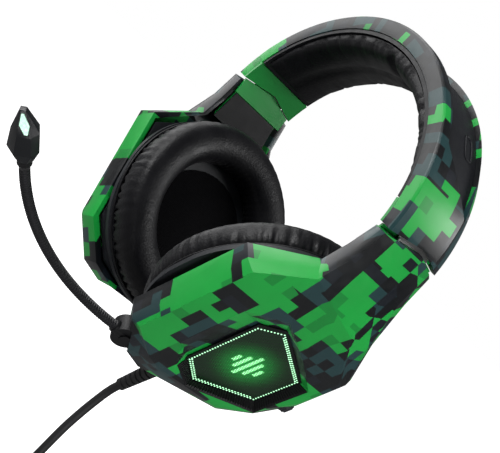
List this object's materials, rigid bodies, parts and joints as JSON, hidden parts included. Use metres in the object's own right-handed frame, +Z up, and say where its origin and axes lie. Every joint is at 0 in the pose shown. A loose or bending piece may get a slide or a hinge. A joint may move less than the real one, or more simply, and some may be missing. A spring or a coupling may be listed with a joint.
{
  "type": "gaming headset",
  "caption": "Over-ear headset: camouflage headband on a steel slider strip, angular lit ear cups, gathered ear cushions, flexible microphone boom and a hanging USB cable.",
  "frame": {"origin": "the underside of the head cushion at the middle of the crown, where the headset rests on the head", "axes": "+Z up through the crown, -Y to the wearer's front, +X to the wearer's left, where the microphone and cable are"},
  "size_m": [0.1868, 0.1988, 0.4072],
  "materials": {
    "camo_plastic": "satin moulded shell with a green, teal and black digital camouflage",
    "black_plastic": "fine-textured black moulding",
    "dark_plastic": "dark grey moulding",
    "spring_steel": "brushed spring steel",
    "leatherette": "soft black leatherette over foam",
    "green_plastic": "smooth green moulding",
    "screw_steel": "dark plated screws",
    "cord_rubber": "matt black cable jacket",
    "gloss_black": "gloss black dotted grille",
    "light_guide": "milky light diffuser",
    "board": "circuit board",
    "driver_metal": "driver frame and magnet",
    "grille_cloth": "black woven cloth",
    "boom_rubber": "ribbed flexible boom",
    "plug_metal": "plated plug shell"
  },
  "bodies": {
    "headband": {"headband_frame": "camo_plastic", "headband_insert": "black_plastic", "headband_liner": "dark_plastic", "headband_spring": "spring_steel", "head_cushion": "leatherette", "left_end_cap": "green_plastic", "right_end_cap": "green_plastic", "headband_screws": "screw_steel", "headband_wire": "cord_rubber"},
    "left_arm": {"left_shell": "camo_plastic", "left_arm_trim": "green_plastic", "left_arm_cover": "black_plastic", "left_slider_guide": "green_plastic", "left_cup_plate": "dark_plastic", "left_bezel": "black_plastic", "left_lens": "gloss_black", "left_diffuser": "light_guide", "left_light_board": "board", "left_screws": "screw_steel", "control_board": "board", "mic_mount": "black_plastic", "cable_boot": "cord_rubber", "cable": "cord_rubber", "cable_coil": "cord_rubber", "cable_tie": "cord_rubber", "cable_tail": "cord_rubber", "plug_grip": "cord_rubber", "plug_shell": "plug_metal"},
    "left_speaker": {"left_housing": "dark_plastic", "left_driver": "driver_metal", "left_driver_cover": "grille_cloth", "left_ear_cushion": "leatherette"},
    "right_arm": {"right_shell": "camo_plastic", "right_arm_trim": "green_plastic", "right_arm_cover": "black_plastic", "right_slider_guide": "green_plastic", "right_cup_plate": "dark_plastic", "right_bezel": "black_plastic", "right_lens": "gloss_black", "right_diffuser": "light_guide", "right_light_board": "board", "right_screws": "screw_steel"},
    "right_speaker": {"right_housing": "dark_plastic", "right_driver": "driver_metal", "right_driver_cover": "grille_cloth", "right_ear_cushion": "leatherette"},
    "volume_wheel": {"volume_wheel": "dark_plastic"},
    "mute_switch": {"mute_switch": "dark_plastic"},
    "mic_arm": {"mic_hub": "black_plastic", "mic_boom_lower": "boom_rubber"},
    "mic_tip": {"mic_boom_upper": "boom_rubber", "mic_collar": "black_plastic", "mic_head": "dark_plastic", "mic_window": "light_guide", "mic_capsule": "driver_metal"}
  },
  "joints": [
    {"name": "left_slide", "type": "slide", "parent": "headband", "child": "left_arm", "axis": [-0.1908, 0, -0.9816], "range_m": [0, 0.03]},
    {"name": "right_slide", "type": "slide", "parent": "headband", "child": "right_arm", "axis": [0.1908, 0, -0.9816], "range_m": [0, 0.03]},
    {"name": "left_tilt", "type": "hinge", "parent": "left_arm", "child": "left_speaker", "pos_m": [0.05421, 0, -0.12091], "axis": [0, 1, 0], "range_deg": [-4, 4]},
    {"name": "right_tilt", "type": "hinge", "parent": "right_arm", "child": "right_speaker", "pos_m": [-0.05421, 0, -0.12091], "axis": [0, 1, 0], "range_deg": [-4, 4]},
    {"name": "mic_pivot", "type": "hinge", "parent": "left_arm", "child": "mic_arm", "pos_m": [0.04088, -0.038, -0.15746], "axis": [-0.8572, 0, 0.515], "range_deg": [-80, 35]},
    {"name": "mic_bend", "type": "hinge", "parent": "mic_arm", "child": "mic_tip", "pos_m": [0.04633, -0.09273, -0.1484], "axis": [-0.8572, 0, 0.515], "range_deg": [-20, 20]},
    {"name": "volume_turn", "type": "hinge", "parent": "left_arm", "child": "volume_wheel", "pos_m": [0.05455, 0.035, -0.13511], "axis": [0.515, 0, 0.8572], "range_deg": [-140, 140]},
    {"name": "mute_slide", "type": "slide", "parent": "left_arm", "child": "mute_switch", "axis": [0.515, 0, 0.8572], "range_m": [0, 0.002]}
  ]
}
